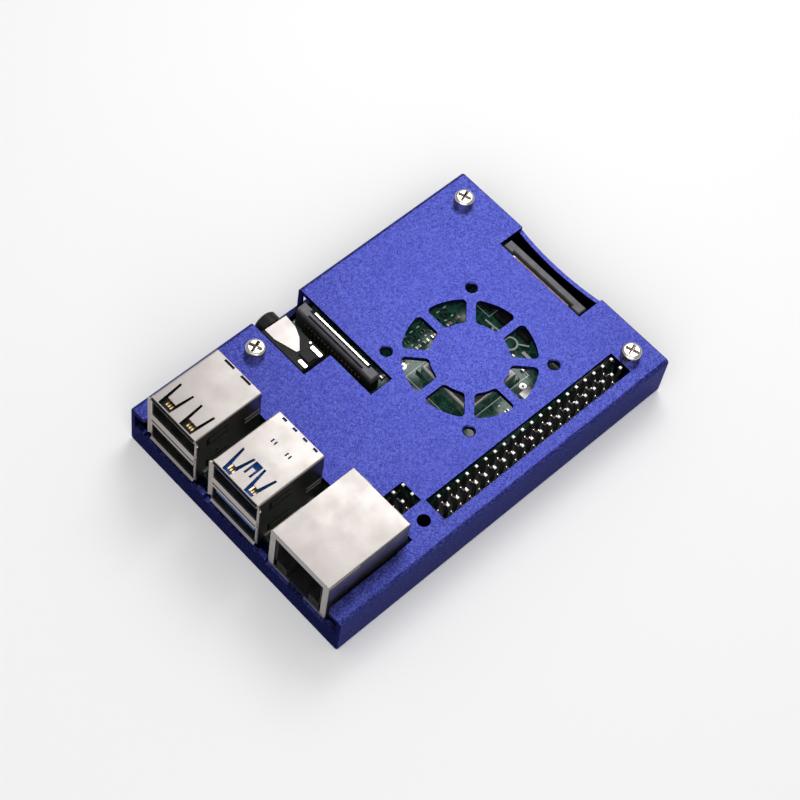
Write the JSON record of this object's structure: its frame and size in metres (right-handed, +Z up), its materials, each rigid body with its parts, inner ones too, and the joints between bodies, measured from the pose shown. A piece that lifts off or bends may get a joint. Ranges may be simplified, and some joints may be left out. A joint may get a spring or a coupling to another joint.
{
  "type": "single board computer",
  "caption": "Card-size computer board in a thin two-part milled metal case, with a round fan vent, end sockets, side ports and a double-row pin header.",
  "frame": {"origin": "centre of the case's underside", "axes": "+X towards the end with the USB and network sockets, +Y towards the long side with the pin header, +Z up out of the cover"},
  "size_m": [0.0904, 0.061, 0.0215],
  "materials": {
    "case_metal": "satin bead-blasted violet-blue anodising",
    "screw_metal": "polished nickel plate",
    "socket_metal": "satin nickel-plated sheet",
    "lid_metal": "satin nickel-plated lid",
    "pin_metal": "bright tin plate",
    "bronze_metal": "dull bronze, unplated spring contacts",
    "contact_metal": "thin gold plate",
    "board_laminate": "green solder mask",
    "black_plastic": "moulded black",
    "dark_plastic": "moulded dark",
    "grey_plastic": "moulded grey",
    "blue_plastic": "moulded blue",
    "chip_resin": "black moulding resin",
    "ferrite": "dark grey ferrite",
    "ceramic": "tan ceramic",
    "lamp_lens": "clear lens"
  },
  "bodies": {
    "computer": {"base_shell": "case_metal", "top_cover": "case_metal", "case_screws": "screw_metal", "circuit_board": "board_laminate", "header_strip": "black_plastic", "header_pins": "pin_metal", "small_header_strip": "black_plastic", "small_header_pins": "pin_metal", "usb2_shell": "socket_metal", "usb2_insert": "black_plastic", "usb2_contacts": "contact_metal", "usb3_shell": "socket_metal", "usb3_insert": "blue_plastic", "usb3_contacts": "contact_metal", "ethernet_shell": "socket_metal", "ethernet_insert": "black_plastic", "ethernet_contacts": "contact_metal", "audio_body": "black_plastic", "audio_plate": "socket_metal", "audio_tabs": "pin_metal", "camera_connector": "dark_plastic", "camera_contacts": "pin_metal", "display_connector": "dark_plastic", "display_contacts": "bronze_metal", "power_shell": "socket_metal", "power_tongue": "black_plastic", "video_a_shell": "socket_metal", "video_a_tongue": "black_plastic", "video_b_shell": "socket_metal", "video_b_tongue": "black_plastic", "processor_substrate": "board_laminate", "processor_lid": "lid_metal", "memory_chip": "chip_resin", "wireless_can": "lid_metal", "power_manager": "chip_resin", "usb_controller": "chip_resin", "network_chip": "chip_resin", "inductors": "ferrite", "crystals": "lid_metal", "capacitors": "ceramic", "resistors": "chip_resin", "status_lamps": "lamp_lens", "card_socket": "socket_metal"},
    "camera_lock": {"camera_lock": "grey_plastic"},
    "display_lock": {"display_lock": "grey_plastic"},
    "memory_card": {"memory_card": "black_plastic"}
  },
  "joints": [
    {"name": "camera_lock_lift", "type": "slide", "parent": "computer", "child": "camera_lock", "axis": [0, 0, 1], "range_m": [0, 0.0012]},
    {"name": "display_lock_lift", "type": "slide", "parent": "computer", "child": "display_lock", "axis": [0, 0, 1], "range_m": [0, 0.0012]},
    {"name": "memory_card_slide", "type": "slide", "parent": "computer", "child": "memory_card", "axis": [-1, 0, 0], "range_m": [0, 0.014]}
  ]
}
